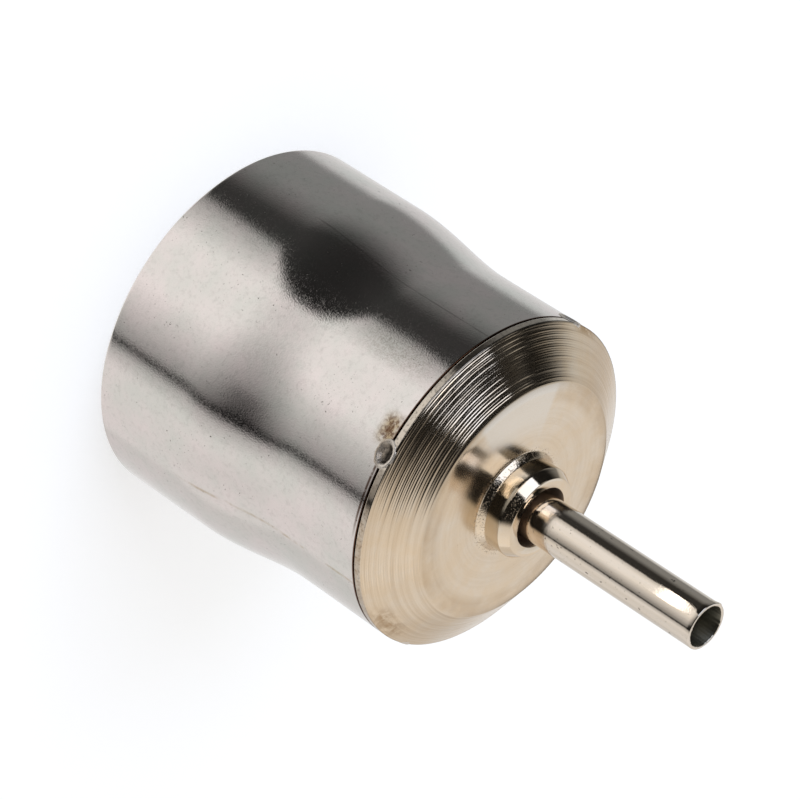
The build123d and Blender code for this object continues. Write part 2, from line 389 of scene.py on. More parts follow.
# Where the zones and marks lie: low, high and soft edge, in degrees round, mm up or mm out
FLARE_FOOT = 4.7
FACE_UP, FACE_OUT = (FACE_HEIGHT - SOFT, FACE_HEIGHT + SOFT, SHARP), (FLARE_FOOT, FACE_RADIUS, 0.1)
CONE_UP, CONE_OUT = (BAND_TOP, FACE_HEIGHT - SOFT, SHARP), (FACE_RADIUS, SOCKET_RADIUS, SOFT)
FLARE_UP, FLARE_OUT = (FACE_HEIGHT - 0.1, FACE_HEIGHT + FLARE_HEIGHT, 0.06), (3, FLARE_FOOT, 0.2)
WALL_UP = (FACE_HEIGHT + FLARE_HEIGHT, chamfer_foot, 0.03)
WALL_OUT = (BOSS_RADIUS - 0.04, BOSS_RADIUS + 0.1, SHARP)
BAND_UP, BAND_EDGE_UP = (SLEEVE_LENGTH, BAND_TOP, SHARP), (BAND_TOP - 0.09, BAND_TOP + 0.02, 0.03)
BAND_EDGE_ROUND, BAND_STAIN_ROUND = (-130, 12, 10), (20, 90, 14)
FACE_EDGE_OUT = (8.7, 11, 0.5)
REFLECTION_WEDGE_ROUND, REFLECTION_WEDGE_OUT = (-66, -17, 2), (6.5, 11, 1.5)
LOW_STAIN_ROUND, LOW_STAIN_UP = (72, 90, 5), (28.25, 29.1, 0.5)
HIGH_STAIN_ROUND, HIGH_STAIN_UP = (-91, -80, 4), (28.0, 28.5, 0.15)
GRAINY_ROUND, GRAINY_UP, GRAINY_OUT = (-6, 24, 4), (chamfer_foot, BOSS_TOP - 0.03, SOFT), (3.3, 4.1, SOFT)
SEAM_SHADE_UP, SEAM_SHADE_OUT = (20, BAND_BOTTOM + SHARP, SHARP), (0, FRONT_RADIUS - SHARP, SHARP)
MOUTH_UP, MOUTH_OUT = (HOLLOW_TOP, BOSS_TOP - 0.1, 0.1), (0, MOUTH_RADIUS + SHARP, SHARP)

on_cone = where_all(tree, within(tree, height, *CONE_UP), within(tree, radius, *CONE_OUT))
on_face = where_all(tree, within(tree, height, *FACE_UP), within(tree, radius, *FACE_OUT))
on_flare = where_all(tree, within(tree, height, *FLARE_UP), within(tree, radius, *FLARE_OUT))
on_wall = where_all(tree, within(tree, height, *WALL_UP), within(tree, radius, *WALL_OUT))
pale = blotches(tree, place, size=2.8, low=0.4, high=0.7)
colour = marked(tree, NICKEL, NICKEL_PALE, pale, 0.6)
ring_place = add(tree, "ShaderNodeCombineXYZ", {0: radius, 1: height}).outputs[0]
drift = add(tree, "ShaderNodeVectorMath", {
    0: place, "Scale": FEED_MARK_WANDER}, operation="SCALE").outputs[0]
ring_place = add(tree, "ShaderNodeVectorMath", {0: ring_place, 1: drift}, operation="ADD").outputs[0]
feed_marks = blotches(tree, ring_place, size=FEED_MARK_SPACING, low=0.42, high=0.68, detail=2.0)
colour = marked(tree, colour, STAIN, on_cone, feed_marks, 0.22)
colour = marked(tree, colour, STAIN, on_face, feed_marks, 0.09)
face_edge = where_all(tree, on_face, within(tree, radius, *FACE_EDGE_OUT))
colour = marked(tree, colour, STAIN, face_edge, blotches(tree, place, size=3.5, low=0.35, high=0.65), 0.3)
# Painted reflection: a paler greyish wedge on the face, the turned face's highlight
painted_reflection_wedge = where_all(tree, on_face, within(tree, angle, *REFLECTION_WEDGE_ROUND), within(tree, radius, *REFLECTION_WEDGE_OUT))
colour = marked(tree, colour, NICKEL_PALE, painted_reflection_wedge, 0.85)
colour = marked(tree, colour, NICKEL_DULL, on_wall, 0.9)
band = within(tree, height, *BAND_UP)
colour = marked(tree, colour, BAND_GREY, band, 0.8)
colour = marked(tree, colour, PIT_COLOUR, band, blotches(tree, place, size=0.25, low=0.5, high=0.66), 0.6)
band_edge = where_all(tree, within(tree, height, *BAND_EDGE_UP), within(tree, angle, *BAND_EDGE_ROUND))
colour = marked(tree, colour, PIT_COLOUR, band_edge, 0.7)
band_stain = where_all(tree, band, within(tree, angle, *BAND_STAIN_ROUND))
colour = marked(tree, colour, STAIN, band_stain, blotches(tree, place, size=0.8, low=0.3, high=0.6), 0.45)
low_stain = where_all(tree, within(tree, angle, *LOW_STAIN_ROUND), within(tree, height, *LOW_STAIN_UP))
colour = marked(tree, colour, STAIN, low_stain, blotches(tree, place, size=0.7, low=0.36, high=0.56), 0.8)
high_stain = where_all(tree, within(tree, angle, *HIGH_STAIN_ROUND), within(tree, height, *HIGH_STAIN_UP))
colour = marked(tree, colour, STAIN, high_stain, blotches(tree, place, size=0.5, low=0.3, high=0.5), 0.7)
dots = specks(tree, place, size=0.15, share=0.14, seed=4.0)
colour = marked(tree, colour, PIT_COLOUR, dots, 0.8)
grains = specks(tree, place, size=0.15, share=0.8, seed=9.0)
on_chamfer = where_all(tree, within(tree, angle, *GRAINY_ROUND), within(tree, height, *GRAINY_UP),
                       within(tree, radius, *GRAINY_OUT))
grainy = add(tree, "ShaderNodeMath", {0: on_flare, 1: on_chamfer}, operation="MAXIMUM").outputs[0]
colour = marked(tree, colour, SEAM_SOOT, grainy, grains, 0.25)
# Painted shade: the cap's faces in the seam gap and under its band are dark brown
seam_shade = where_all(tree, within(tree, radius, *SEAM_SHADE_OUT), within(tree, height, *SEAM_SHADE_UP))
colour = marked(tree, colour, BROWN_TINT_AND_SHADE, seam_shade)
# Painted shade: the counterbore round the tube is a darker brown
in_mouth = where_all(tree, within(tree, radius, *MOUTH_OUT), within(tree, height, *MOUTH_UP))
colour = marked(tree, colour, MOUTH_SHADE_BROWN, in_mouth, 0.95)
tree.links.new(colour, shader.inputs["Base Color"])
shader.inputs["Metallic"].default_value = 1
gloss = add(tree, "ShaderNodeMapRange", {
    "Value": where_all(tree, grainy, grains),
    "To Min": NICKEL_ROUGHNESS, "To Max": GRAINY_ROUGHNESS}).outputs[0]
for zone, dulls in ((on_cone, CONE_DULLS), (on_face, FACE_DULLS), (in_mouth, MOUTH_DULLS)):
    gloss = add(tree, "ShaderNodeMath", {0: zone, 1: dulls, 2: gloss}, operation="MULTIPLY_ADD").outputs[0]
tree.links.new(gloss, shader.inputs["Roughness"])
# The gloss spreads across the rings, a quarter turn from the way that they run
shader.inputs["Anisotropic"].default_value = 0.5
shader.inputs["Anisotropic Rotation"].default_value = 0.25
ring_way = add(tree, "ShaderNodeTangent", direction_type="RADIAL", axis="Z").outputs[0]
tree.links.new(ring_way, shader.inputs["Tangent"])
rings = add(tree, "ShaderNodeTexNoise", {
    "Vector": ring_place, "Scale": 1 / NICKEL_GRAIN, "Detail": 3, "Roughness": 0.6}).outputs[0]
grit = add(tree, "ShaderNodeTexNoise", {
    "Vector": place, "Scale": 1 / NICKEL_GRAIN, "Detail": 2, "Roughness": 0.6}).outputs[0]
ring_depth = add(tree, "ShaderNodeMath", {
    0: on_cone, 1: MORE_ON_CONE, 2: RING_DEPTH}, operation="MULTIPLY_ADD").outputs[0]
relief = add(tree, "ShaderNodeMath", {0: rings, 1: ring_depth}, operation="MULTIPLY").outputs[0]
grit_depth = add(tree, "ShaderNodeMath", {
    0: grainy, 1: MORE_WHERE_GRAINY, 2: GRIT_DEPTH}, operation="MULTIPLY_ADD").outputs[0]
relief = add(tree, "ShaderNodeMath", {
    0: grit, 1: grit_depth, 2: relief}, operation="MULTIPLY_ADD").outputs[0]
bump = add(tree, "ShaderNodeBump", {"Height": relief, "Distance": NICKEL_RELIEF * MM, "Strength": 1.0})
tree.links.new(bump.outputs[0], shader.inputs["Normal"])
cap.data.materials.append(nickel)
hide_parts("end_cap")
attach(cap, "root")

# Outlet tube. It is a 4.0 mm drawn steel tube with a 0.25 mm wall, plated, pushed into the boss
# and fixed there. Its tip is cut square and only lightly deburred, and its bore is painted dark as shade.
TIP_HEIGHT = BOSS_TOP + 17.1
BORE_RADIUS = 1.75
TUBE_AROUND = 160
TIP_BREAK, BORE_BREAK = 0.07, 0.05
BURR_DEPTH, BURR_FRINGE = 0.035, 0.02
SNAG_ANGLE, SNAG_REACH, SNAG_HEIGHT = math.radians(172), 0.14, 0.08
tube_outline = [(TUBE_RADIUS, HOLLOW_TOP), (TUBE_RADIUS, BOSS_TOP - 1)]
tube_outline += [(TUBE_RADIUS, h) for h in np.linspace(BOSS_TOP, TIP_HEIGHT - 0.5, 24)]
tube_outline += [
    (TUBE_RADIUS, TIP_HEIGHT - TIP_BREAK), (TUBE_RADIUS - 0.02, TIP_HEIGHT - 0.02),
    (TUBE_RADIUS - TIP_BREAK, TIP_HEIGHT), (BORE_RADIUS + BORE_BREAK, TIP_HEIGHT),
    (BORE_RADIUS, TIP_HEIGHT - BORE_BREAK), (BORE_RADIUS, TIP_HEIGHT - 4), (BORE_RADIUS, HOLLOW_TOP),
]


def tube_shape(angle, radius, height):
    """Leaves a slight burr round the edge of the bore at the tip, and one snag on the outside."""
    at_tip = ease(TIP_HEIGHT - 0.12, TIP_HEIGHT - 0.02, height) * (radius < TUBE_RADIUS - 0.1)
    burr = BURR_DEPTH * np.sin(9 * angle) * np.sin(4 * angle + 1) + BURR_FRINGE * np.sin(23 * angle)
    snag = ease(TIP_HEIGHT - 0.25, TIP_HEIGHT - 0.02, height) * (radius > TUBE_RADIUS - 0.1)
    snag = snag * np.exp(-((angle - SNAG_ANGLE) / SNAG_REACH) ** 2)
    return radius - at_tip * np.abs(burr) + SNAG_HEIGHT * snag, height


tube = turned("outlet_tube_drawn", tube_outline, TUBE_AROUND, tube_shape)

# Nickel plate over drawn tube: a bright, faintly warm mirror with streaks along the tube, which
# the die left, a scatter of dark pits, and grit at its foot. Inside it is dull, with painted shade.
drawn, tree, shader, place, angle, height, radius = start_material("nickel_plated_tube_drawn")
TUBE_BRIGHT, TUBE_WARM, BORE_SHADE = linear("#E4D8CA"), linear("#DFD0BD"), linear("#7F7A6C")
TUBE_ROUGHNESS, BORE_DULLS, DOT_DULLS = 0.075, 0.3, 0.2
STREAK_STRETCH = 0.06
TUBE_GRAIN, TUBE_RELIEF = 0.125, 0.003
FOOT_ROUND, FOOT_UP = (-4, 26, 5), (BOSS_TOP - 0.2, BOSS_TOP + 1.9, 0.5)
BORE_UP, BORE_OUT = (0, TIP_HEIGHT - 0.06, 0.03), (0, BORE_RADIUS + 0.03, 0.015)

long_place = add(tree, "ShaderNodeVectorMath", {
    0: place, 1: (1, 1, STREAK_STRETCH)}, operation="MULTIPLY").outputs[0]
colour = marked(tree, TUBE_BRIGHT, TUBE_WARM, blotches(tree, long_place, size=0.8, low=0.4, high=0.7))
dots = specks(tree, place, size=0.4, share=0.43, seed=6.0)
colour = marked(tree, colour, PIT_COLOUR, specks(tree, place, size=0.17, share=0.4, seed=6.0), 0.6)
colour = marked(tree, colour, SEAM_SOOT, dots, 0.85)
foot_grit = where_all(tree, within(tree, angle, *FOOT_ROUND), within(tree, height, *FOOT_UP),
                      specks(tree, place, size=0.1, share=0.75, seed=2.0))
colour = marked(tree, colour, SEAM_SOOT, foot_grit, 0.65)
# Painted shade: the bore is dark
in_bore = where_all(tree, within(tree, radius, *BORE_OUT), within(tree, height, *BORE_UP))
colour = marked(tree, colour, BORE_SHADE, in_bore)
tree.links.new(colour, shader.inputs["Base Color"])
shader.inputs["Metallic"].default_value = 1
gloss = add(tree, "ShaderNodeMath", {
    0: in_bore, 1: BORE_DULLS, 2: TUBE_ROUGHNESS}, operation="MULTIPLY_ADD").outputs[0]
gloss = add(tree, "ShaderNodeMath", {0: dots, 1: DOT_DULLS, 2: gloss}, operation="MULTIPLY_ADD").outputs[0]
tree.links.new(gloss, shader.inputs["Roughness"])
grain = add(tree, "ShaderNodeTexNoise", {"Vector": place, "Scale": 1 / TUBE_GRAIN, "Detail": 2}).outputs[0]
relief = add(tree, "ShaderNodeMath", {0: dots, 1: PIT_SHARE, 2: grain}, operation="MULTIPLY_ADD").outputs[0]
bump = add(tree, "ShaderNodeBump", {"Height": relief, "Distance": TUBE_RELIEF * MM, "Strength": 1.0})
tree.links.new(bump.outputs[0], shader.inputs["Normal"])
tube.data.materials.append(drawn)
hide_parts("outlet_tube")
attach(tube, "root")

# Tack welds. Each is steel that one shot of a spot welder fused across the seam. It left an oval
# with a thin raised rim round a sunken crater. The four are a quarter turn apart.
WELD_FLOOR_RADIUS = 13.6
WELD_TOP = FRONT_RADIUS + 0.035
WELD_SPREAD = 1.08
CRATER_DEPTH, RIM_DROP = 0.34, 0.12
CRATER_FLAT, CRATER_EDGE, RIM_CREST = 0.35, 0.8, 0.9  # shares of the way out from the middle
EDGE_WOBBLE, CRUST_HEIGHT = 0.05, 0.05
WELD_RINGS, WELD_SPOKES = 26, 96

# Fused steel: matt and crusty, pale and clean on its raised rim, with a painted highlight on the
# rim's side towards the tip. The weld on the facing side is greyer, with dark burn blotches and
# painted shade over the upper half of its crater, and the others are pale.
fused, tree, shader, place, angle, height, radius = start_material("fused_steel_heat_tinted")
WELD_GREY, WELD_PALE, WELD_BURN_AND_SHADE = linear("#CDBEAD"), linear("#E2D8CC"), linear("#342E29")
WELD_ROUGHNESS, UPPER_HALF_ROUGHNESS = 0.55, 0.45
CRUST_GRAIN, CRUST_RELIEF = 1 / 6, 0.012
FACING_WELD_ROUND = (-30, 50, 10)
on_rim = add(tree, "ShaderNodeMapRange", {
    "Value": radius, "From Min": FRONT_RADIUS - 0.15, "From Max": FRONT_RADIUS + 0.02}).outputs[0]
rim_highlight_side = add(tree, "ShaderNodeMapRange", {
    "Value": height, "From Min": SEAM_HEIGHT - 0.55, "From Max": SEAM_HEIGHT + 0.15,
    "To Min": 0.1}).outputs[0]
upper_half = add(tree, "ShaderNodeMapRange", {
    "Value": height, "From Min": SEAM_HEIGHT - 0.4, "From Max": SEAM_HEIGHT + 0.1}).outputs[0]
# Painted shade: the facing weld is greyer, with dark burn blotches, and shade painted over the upper half of
# its crater
facing_weld_burn_and_shade = within(tree, angle, *FACING_WELD_ROUND)
colour = marked(tree, WELD_PALE, WELD_GREY, facing_weld_burn_and_shade)
colour = marked(tree, colour, WELD_BURN_AND_SHADE, facing_weld_burn_and_shade, upper_half, 0.95)
colour = marked(tree, colour, WELD_BURN_AND_SHADE, facing_weld_burn_and_shade, blotches(tree, place, size=0.4, low=0.5, high=0.7), 0.5)
# Painted highlight: the rim is pale on its side towards the tip
colour = marked(tree, colour, WELD_PALE, on_rim, rim_highlight_side)
tree.links.new(colour, shader.inputs["Base Color"])
shader.inputs["Metallic"].default_value = 1
gloss = add(tree, "ShaderNodeMapRange", {
    "Value": upper_half, "To Min": WELD_ROUGHNESS, "To Max": UPPER_HALF_ROUGHNESS}).outputs[0]
tree.links.new(gloss, shader.inputs["Roughness"])
crust = add(tree, "ShaderNodeTexNoise", {"Vector": place, "Scale": 1 / CRUST_GRAIN, "Detail": 4}).outputs[0]
bump = add(tree, "ShaderNodeBump", {"Height": crust, "Distance": CRUST_RELIEF * MM, "Strength": 1.0})
tree.links.new(bump.outputs[0], shader.inputs["Normal"])

for number, weld_angle in enumerate(WELD_ANGLES):
    points = []
    for ring in range(WELD_RINGS + 1):
        share = ring / WELD_RINGS
        crater = 1 - float(ease(CRATER_FLAT, CRATER_EDGE, share))
        edge = float(ease(RIM_CREST, 1, share))
        for spoke in range(WELD_SPOKES):
            turn = 2 * math.pi * spoke / WELD_SPOKES
            round_rim = Vector((3 * math.cos(turn), 3 * math.sin(turn), 7.0 * number))
            reach = share * (1 + EDGE_WOBBLE * noise.noise(round_rim)) * WELD_SPREAD
            along = reach * WELD_LENGTH / 2 * math.cos(turn)
            across = reach * WELD_WIDTH / 2 * math.sin(turn)
            on_crater = Vector((2.5 * along, 2.5 * across, 3.0 + number))
            rough = CRUST_HEIGHT * noise.noise(on_crater) * crater
            top = WELD_TOP - CRATER_DEPTH * crater - RIM_DROP * edge + rough
            spin = math.radians(weld_angle) + along / FRONT_RADIUS
            corner = (top * math.cos(spin), top * math.sin(spin), SEAM_HEIGHT + across)
            points.append([v * MM for v in corner])
    for x, y, z in points[-WELD_SPOKES:]:
        shrink = WELD_FLOOR_RADIUS * MM / math.hypot(x, y)
        points.append((x * shrink, y * shrink, z))
    faces = []
    for ring in range(WELD_RINGS + 1):
        low, high = ring * WELD_SPOKES, (ring + 1) * WELD_SPOKES
        for spoke in range(WELD_SPOKES):
            after = (spoke + 1) % WELD_SPOKES
            faces.append((low + spoke, high + spoke, high + after, low + after))
    faces.append(tuple(reversed(range((WELD_RINGS + 1) * WELD_SPOKES, (WELD_RINGS + 2) * WELD_SPOKES))))
    mesh = bpy.data.meshes.new(f"tack_weld_{number + 1}")
    mesh.from_pydata(points, [], faces)
    mesh.validate()
    mesh.shade_smooth()
    weld = bpy.data.objects.new(f"tack_weld_{number + 1}", mesh)
    bpy.context.scene.collection.objects.link(weld)
    weld.data.materials.append(fused)
    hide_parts(f"weld_spot_{number + 1}")
    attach(weld, "root")

# Floor. It is a pale matt sheet under the nozzle, with a glow that makes it white to the
# camera, and it keeps the nozzle's faint shadow. The nozzle itself mirrors only the tent.
FLOOR_SIZE, FLOOR_DROP = 4, 0.01
FLOOR_GLOW = 0.45
bpy.ops.mesh.primitive_plane_add(size=FLOOR_SIZE, location=(0, 0, -FLOOR_DROP * MM))
floor = bpy.context.object
floor.name = "floor"
floor.visible_glossy = False
floor_paint = bpy.data.materials.new("pale_matt_floor")
floor_paint.use_nodes = True
tree = floor_paint.node_tree
shader = tree.nodes["Principled BSDF"]
shader.inputs["Base Color"].default_value = linear("#E6E6E6")
shader.inputs["Roughness"].default_value = 0.9
shader.inputs["Specular IOR Level"].default_value = 0.1
rays = add(tree, "ShaderNodeLightPath")
seen = add(tree, "ShaderNodeMath", {
    0: rays.outputs["Is Camera Ray"], 1: rays.outputs["Is Glossy Ray"]}, operation="MAXIMUM").outputs[0]
seen = add(tree, "ShaderNodeMath", {
    0: seen, 1: rays.outputs["Is Transmission Ray"]}, operation="MAXIMUM").outputs[0]
shader.inputs["Emission Color"].default_value = (1, 1, 1, 1)
tree.links.new(where_all(tree, seen, FLOOR_GLOW), shader.inputs["Emission Strength"])
floor.data.materials.append(floor_paint)

# Tent. The nozzle was shot in a white tent with dark gaps, which only its mirrors show. The
# tent is a world of plain light, worked out from the azimuth, measured from the tent's own
# zero, and the lift above level, both in degrees.
world = bpy.data.worlds.new("studio_tent")
bpy.context.scene.world = world
world.use_nodes = True
tree = world.node_tree
tree.nodes.clear()
TENT_TURN = 200.0
ROOM_LIGHT = 0.62
way = add(tree, "ShaderNodeTexCoord").outputs["Generated"]
turned_way = add(tree, "ShaderNodeVectorRotate", {
    "Vector": way, "Angle": -math.radians(TENT_TURN)}, rotation_type="Z_AXIS").outputs[0]
split = add(tree, "ShaderNodeSeparateXYZ", {0: turned_way})
azimuth = add(tree, "ShaderNodeMath", {
    0: split.outputs[1], 1: split.outputs[0]}, operation="ARCTAN2").outputs[0]
azimuth = add(tree, "ShaderNodeMath", {0: azimuth}, operation="DEGREES").outputs[0]
lift = add(tree, "ShaderNodeMath", {0: split.outputs[2]}, operation="ARCSINE").outputs[0]
lift = add(tree, "ShaderNodeMath", {0: lift}, operation="DEGREES").outputs[0]

# The open side of the tent is dark. Its edge bulges at one lift, and the wall grows brighter
# away from it, apart from a dimmer stretch along the horizon
DARK_AZIMUTH = math.radians(24)
BULGE_LIFT, BULGE_AMOUNT, EDGE_SHIFT = 31.0, -0.0000155, 0.04
HORIZON_UP, HORIZON_ROUND, HORIZON_DIMS = (-8, 12, 12), (-178, -90, 30), -0.2
depth = add(tree, "ShaderNodeVectorMath", {
    0: turned_way, 1: (math.cos(DARK_AZIMUTH), math.sin(DARK_AZIMUTH), 0)},
    operation="DOT_PRODUCT").outputs["Value"]
bulge = add(tree, "ShaderNodeMath", {0: lift, 1: BULGE_LIFT}, operation="SUBTRACT").outputs[0]
bulge = add(tree, "ShaderNodeMath", {0: bulge, 1: bulge}, operation="MULTIPLY").outputs[0]
depth = add(tree, "ShaderNodeMath", {
    0: bulge, 1: BULGE_AMOUNT, 2: depth}, operation="MULTIPLY_ADD").outputs[0]
depth = add(tree, "ShaderNodeMath", {0: depth, 1: EDGE_SHIFT}, operation="ADD").outputs[0]
edge = add(tree, "ShaderNodeMapRange", {
    "Value": depth, "From Min": -0.24, "From Max": 0.06, "To Min": 1, "To Max": 0.015},
    interpolation_type="SMOOTHSTEP").outputs[0]
slope = add(tree, "ShaderNodeMapRange", {
    "Value": depth, "From Min": -0.7, "From Max": -0.25, "To Min": 0.84, "To Max": 0.66}).outputs[0]
near_side = add(tree, "ShaderNodeMapRange", {
    "Value": azimuth, "From Min": 60, "From Max": 120, "To Max": 0.13}).outputs[0]
slope = add(tree, "ShaderNodeMath", {0: slope, 1: near_side}, operation="ADD").outputs[0]
horizon = where_all(tree, within(tree, lift, *HORIZON_UP), within(tree, azimuth, *HORIZON_ROUND))
slope = add(tree, "ShaderNodeMath", {
    0: horizon, 1: HORIZON_DIMS, 2: slope}, operation="MULTIPLY_ADD").outputs[0]
light = where_all(tree, edge, slope)

# A grey wing stands low on the dark side, and its edge leans with height
WING_LEAN = 0.55
WING_DEPTH = (-0.15, 2, 0.12)
low = add(tree, "ShaderNodeMapRange", {
    "Value": lift, "From Min": -5, "From Max": 18, "To Min": 1, "To Max": 0},
    interpolation_type="SMOOTHSTEP").outputs[0]
leaning = add(tree, "ShaderNodeMath", {
    0: lift, 1: WING_LEAN, 2: azimuth}, operation="MULTIPLY_ADD").outputs[0]
wing = add(tree, "ShaderNodeMapRange", {
    "Value": leaning, "From Min": -58, "From Max": -18, "To Min": 0.26, "To Max": 0},
    interpolation_type="SMOOTHSTEP").outputs[0]
dim = add(tree, "ShaderNodeMapRange", {
    "Value": lift, "From Min": -31, "From Max": -16, "To Min": 0.042, "To Max": 0.018}).outputs[0]
wing = add(tree, "ShaderNodeMath", {0: wing, 1: dim}, operation="MAXIMUM").outputs[0]
wing = where_all(tree, wing, low, within(tree, depth, *WING_DEPTH))
light = add(tree, "ShaderNodeMath", {0: light, 1: wing}, operation="MAXIMUM").outputs[0]

# A white sheet stands in front, below the camera. Its left edge leans with height up to its
# top, and its right side fades out. A dark gap cuts it off there, with an upright edge that
# steps aside once, darkest in a narrow core, and the corner above the step is dimmer
SHEET_TOP, LEFT_LEAN, RIGHT_LEAN = -17.3, -1.42, 0.85
EAR_ROUND, EAR_UP, EAR_AMOUNT = (93, 125, 5), (-18.3, 20, 1.3), -0.65
GAP_CORE_ROUND, GAP_CORE_UP, GAP_CORE_AMOUNT = (109.9, 114.6, 1), (-60, -5, 3), -0.8
capped_lift = add(tree, "ShaderNodeMath", {0: lift, 1: SHEET_TOP}, operation="MINIMUM").outputs[0]
leaning = add(tree, "ShaderNodeMath", {
    0: capped_lift, 1: LEFT_LEAN, 2: azimuth}, operation="MULTIPLY_ADD").outputs[0]
left = add(tree, "ShaderNodeMapRange", {"Value": leaning, "From Min": 58.3, "From Max": 60.3}).outputs[0]
fill = add(tree, "ShaderNodeMapRange", {
    "Value": azimuth, "From Min": 8, "From Max": 36, "To Min": 0.36, "To Max": 1.0}).outputs[0]
leaning = add(tree, "ShaderNodeMath", {
    0: lift, 1: RIGHT_LEAN, 2: azimuth}, operation="MULTIPLY_ADD").outputs[0]
right = add(tree, "ShaderNodeMapRange", {
    "Value": leaning, "From Min": 41, "From Max": 98, "To Min": 1.0, "To Max": 0.02}).outputs[0]
gap_shift = add(tree, "ShaderNodeMapRange", {
    "Value": lift, "From Min": -20.5, "From Max": -16, "To Max": 7.0}).outputs[0]
gap = add(tree, "ShaderNodeMath", {0: azimuth, 1: gap_shift}, operation="ADD").outputs[0]
gap = add(tree, "ShaderNodeMapRange", {
    "Value": gap, "From Min": 109.8, "From Max": 111.4, "To Min": 1, "To Max": 0}).outputs[0]
ear = where_all(tree, within(tree, azimuth, *EAR_ROUND), within(tree, lift, *EAR_UP), EAR_AMOUNT)
gap = add(tree, "ShaderNodeMath", {0: gap, 1: ear, 2: gap}, operation="MULTIPLY_ADD").outputs[0]
fade = add(tree, "ShaderNodeMapRange", {
    "Value": lift, "From Min": -27, "From Max": 8, "To Min": 1.0, "To Max": 0},
    interpolation_type="SMOOTHSTEP").outputs[0]
sheet = where_all(tree, left, fill, right, gap, fade)
gap_core = where_all(tree, within(tree, azimuth, *GAP_CORE_ROUND), within(tree, lift, *GAP_CORE_UP),
                     GAP_CORE_AMOUNT)
light = add(tree, "ShaderNodeMath", {0: light, 1: gap_core, 2: light}, operation="MULTIPLY_ADD").outputs[0]
light = add(tree, "ShaderNodeMath", {0: light, 1: sheet}, operation="MAXIMUM").outputs[0]

# The tent's other wall begins right of the gap, in two steps
wall_start = add(tree, "ShaderNodeMapRange", {
    "Value": azimuth, "From Min": 113.7, "From Max": 117.9, "To Max": 0.5}).outputs[0]
wall_rest = add(tree, "ShaderNodeMapRange", {
    "Value": azimuth, "From Min": 117.4, "From Max": 130.1, "To Max": 0.37}).outputs[0]
wall = add(tree, "ShaderNodeMath", {0: wall_start, 1: wall_rest}, operation="ADD").outputs[0]
wall_top = add(tree, "ShaderNodeMapRange", {
    "Value": lift, "From Min": -10, "From Max": 5, "To Min": 1, "To Max": 0}).outputs[0]
wall = where_all(tree, wall, wall_top)
light = add(tree, "ShaderNodeMath", {0: light, 1: wall}, operation="MAXIMUM").outputs[0]

# A part of the wall to the right of the nozzle is greyer, below the horizon
DULL_AZIMUTH = math.radians(185)
dull = add(tree, "ShaderNodeVectorMath", {
    0: turned_way, 1: (math.cos(DULL_AZIMUTH), math.sin(DULL_AZIMUTH), 0)},
    operation="DOT_PRODUCT").outputs["Value"]
dull = add(tree, "ShaderNodeMapRange", {
    "Value": dull, "From Min": 0.62, "From Max": 0.78, "To Min": 1, "To Max": 0.86}).outputs[0]
above = add(tree, "ShaderNodeMapRange", {"Value": lift, "From Min": -20, "From Max": -5}).outputs[0]
dull = add(tree, "ShaderNodeMath", {0: dull, 1: above}, operation="MAXIMUM").outputs[0]
light = where_all(tree, light, dull)

# A dim strip stands high on the dark side, the softbox lights the wall beside it, and
# straight down there is only the white floor
STRIP_ROUND, STRIP_UP, STRIP_LIGHT = (-55, -48, 2.5), (42, 58, 6), 0.065
HALO_ROUND, HALO_UP, HALO_LIGHT = (-46, -17, 4), (33, 42, 2.5), 0.5
strip = where_all(tree, within(tree, azimuth, *STRIP_ROUND), within(tree, lift, *STRIP_UP), STRIP_LIGHT)
halo = where_all(tree, within(tree, azimuth, *HALO_ROUND), within(tree, lift, *HALO_UP), HALO_LIGHT)
below = add(tree, "ShaderNodeMapRange", {
    "Value": lift, "From Min": -60, "From Max": -42, "To Min": 0.95, "To Max": 0},
    interpolation_type="SMOOTHSTEP").outputs[0]
for patch in (strip, halo, below):
    light = add(tree, "ShaderNodeMath", {0: light, 1: patch}, operation="MAXIMUM").outputs[0]

# The wing is a cool grey, the side walls are warmer, and a panel behind the nozzle is whiter
WHITE, COOL = (1, 1, 1, 1), (0.98, 1.01, 1.02, 1)
WARM, PANEL_WHITE = (1.0, 0.96, 0.91, 1), (1.08, 1.16, 1.28, 1)
COOL_ROUND = (-90, -20, 10)
PANEL_ROUND, PANEL_UP = (-119.4, -88, 0.5), (30.75, 60, 0.12)
panel = where_all(tree, within(tree, azimuth, *PANEL_ROUND), within(tree, lift, *PANEL_UP))
shade = marked(tree, WHITE, COOL, within(tree, azimuth, *COOL_ROUND))
shade = marked(tree, shade, WARM, horizon)
shade = marked(tree, shade, PANEL_WHITE, panel)
tent = add(tree, "ShaderNodeBackground", {"Color": shade, "Strength": light})
plain = add(tree, "ShaderNodeBackground", {"Color": WHITE, "Strength": ROOM_LIGHT})
white = add(tree, "ShaderNodeBackground", {"Color": WHITE, "Strength": 1.0})
rays = add(tree, "ShaderNodeLightPath")
mirrored = add(tree, "ShaderNodeMath", {
    0: rays.outputs["Is Glossy Ray"], 1: rays.outputs["Is Transmission Ray"]},
    operation="MAXIMUM").outputs[0]
sky = add(tree, "ShaderNodeMixShader", {0: mirrored, 1: plain.outputs[0], 2: tent.outputs[0]})
sky = add(tree, "ShaderNodeMixShader", {
    0: rays.outputs["Is Camera Ray"], 1: sky.outputs[0], 2: white.outputs[0]})
add(tree, "ShaderNodeOutputWorld", {"Surface": sky.outputs[0]})

# Softbox. It is the one lamp, a slightly cool square of cloth behind the nozzle and above it,
# rolled a little about its own axis.
LIT_POINT = Vector((0, 0, 30 * MM))
SOFTBOX_AZIMUTH, SOFTBOX_LIFT, SOFTBOX_ROLL = 211, 42, 20
SOFTBOX_DISTANCE, SOFTBOX_WIDTH, SOFTBOX_HEIGHT = 0.5, 0.375, 0.38  # metres
SOFTBOX_LEVEL = 2.12  # 1 would show as white


